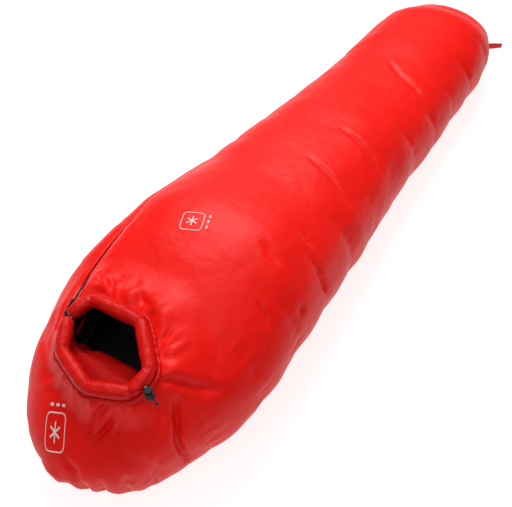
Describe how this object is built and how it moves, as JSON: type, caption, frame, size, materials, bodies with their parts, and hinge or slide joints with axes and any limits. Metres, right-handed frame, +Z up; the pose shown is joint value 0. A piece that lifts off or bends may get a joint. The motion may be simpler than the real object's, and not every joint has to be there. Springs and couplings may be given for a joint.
{
  "type": "mummy sleeping bag",
  "caption": "Mummy sleeping bag lying filled out: chambered tapering body, hood with padded face ring and cord lock, curved side zipper, draft collar, footbox with hang loops.",
  "frame": {"origin": "bottom centre of the bag's box, on the ground", "axes": "+Z up, +Y from the hood to the foot, -X towards the sleeper's left, where the zipper is"},
  "size_m": [0.5937, 2.12, 0.386],
  "materials": {
    "shell": "satin",
    "lining": "satin",
    "down": "matte",
    "baffle": "matte",
    "cord": "matte",
    "lock": "matte",
    "spring_steel": "satin",
    "zip_tape": "matte",
    "zip_coil": "satin",
    "zip_metal": "satin",
    "strip": "satin",
    "webbing": "matte"
  },
  "bodies": {
    "bag": {"hood_shell": "shell", "footbox_shell": "shell", "shell_top_panel": "shell", "shell_left_side_strip": "shell", "shell_bottom_panel": "shell", "hood_lining": "lining", "footbox_lining": "lining", "lining_top_panel": "lining", "lining_left_side_strip": "lining", "lining_bottom_panel": "lining", "hood_down": "down", "down_chambers_bottom": "down", "down_chambers_top": "down", "down_chambers_left_strip": "down", "footbox_down": "down", "baffle_walls_top": "baffle", "baffle_walls_left_strip": "baffle", "baffle_walls_bottom": "baffle", "face_ring_cover": "shell", "face_ring_fill": "down", "face_drawcord": "cord", "face_drawcord_eyelet": "lock", "face_drawcord_knot": "cord", "face_opening_facing": "lining", "draft_collar_cover": "lining", "draft_collar_fill": "down", "collar_drawcord": "cord", "collar_drawcord_knot": "cord", "zip_tape_upper": "zip_tape", "zip_tape_lower": "zip_tape", "zip_coil_upper": "zip_coil", "zip_coil_lower": "zip_coil", "zip_top_stops": "zip_metal", "zip_bottom_stop": "zip_metal", "zip_anti_snag_strip": "strip", "draft_tube_cover": "lining", "draft_tube_fill": "down", "hang_loop_left": "webbing", "hang_loop_right": "webbing"},
    "zip_slider": {"zip_slider_body": "zip_metal"},
    "zip_pull_outer": {"zip_puller_outer": "zip_metal", "zip_pull_tab": "webbing"},
    "zip_pull_inner": {"zip_puller_inner": "zip_metal"},
    "face_cord_lock": {"face_cord_lock_barrel": "lock", "face_cord_lock_spring": "spring_steel"},
    "face_lock_plunger": {"face_cord_lock_plunger": "lock"},
    "collar_cord_lock": {"collar_cord_lock_barrel": "lock", "collar_cord_lock_spring": "spring_steel"},
    "collar_lock_plunger": {"collar_cord_lock_plunger": "lock"}
  },
  "joints": [
    {"name": "zip_travel", "type": "hinge", "parent": "bag", "child": "zip_slider", "pos_m": [0.44287, -0.4857, -0.8021], "axis": [-0.8475, -0.1459, -0.5103], "range_deg": [0, 46.5]},
    {"name": "zip_pull_outer_swing", "type": "hinge", "parent": "zip_slider", "child": "zip_pull_outer", "pos_m": [-0.1689, -0.78643, 0.29985], "axis": [-0.8475, -0.1459, -0.5103], "range_deg": [-150, 0]},
    {"name": "zip_pull_inner_swing", "type": "hinge", "parent": "zip_slider", "child": "zip_pull_inner", "pos_m": [-0.16352, -0.78378, 0.29016], "axis": [-0.8475, -0.1459, -0.5103], "range_deg": [-60, 60]},
    {"name": "face_lock_travel", "type": "slide", "parent": "bag", "child": "face_cord_lock", "axis": [0.9507, -0.3102, 0], "range_m": [0, 0.014]},
    {"name": "face_lock_press", "type": "slide", "parent": "face_cord_lock", "child": "face_lock_plunger", "axis": [0, 0, -1], "range_m": [0, 0.0026], "stiffness_N_per_m": 300},
    {"name": "collar_lock_travel", "type": "slide", "parent": "bag", "child": "collar_cord_lock", "axis": [0, -1, 0], "range_m": [0, 0.012]},
    {"name": "collar_lock_press", "type": "slide", "parent": "collar_cord_lock", "child": "collar_lock_plunger", "axis": [0, 0, -1], "range_m": [0, 0.0026], "stiffness_N_per_m": 300}
  ]
}
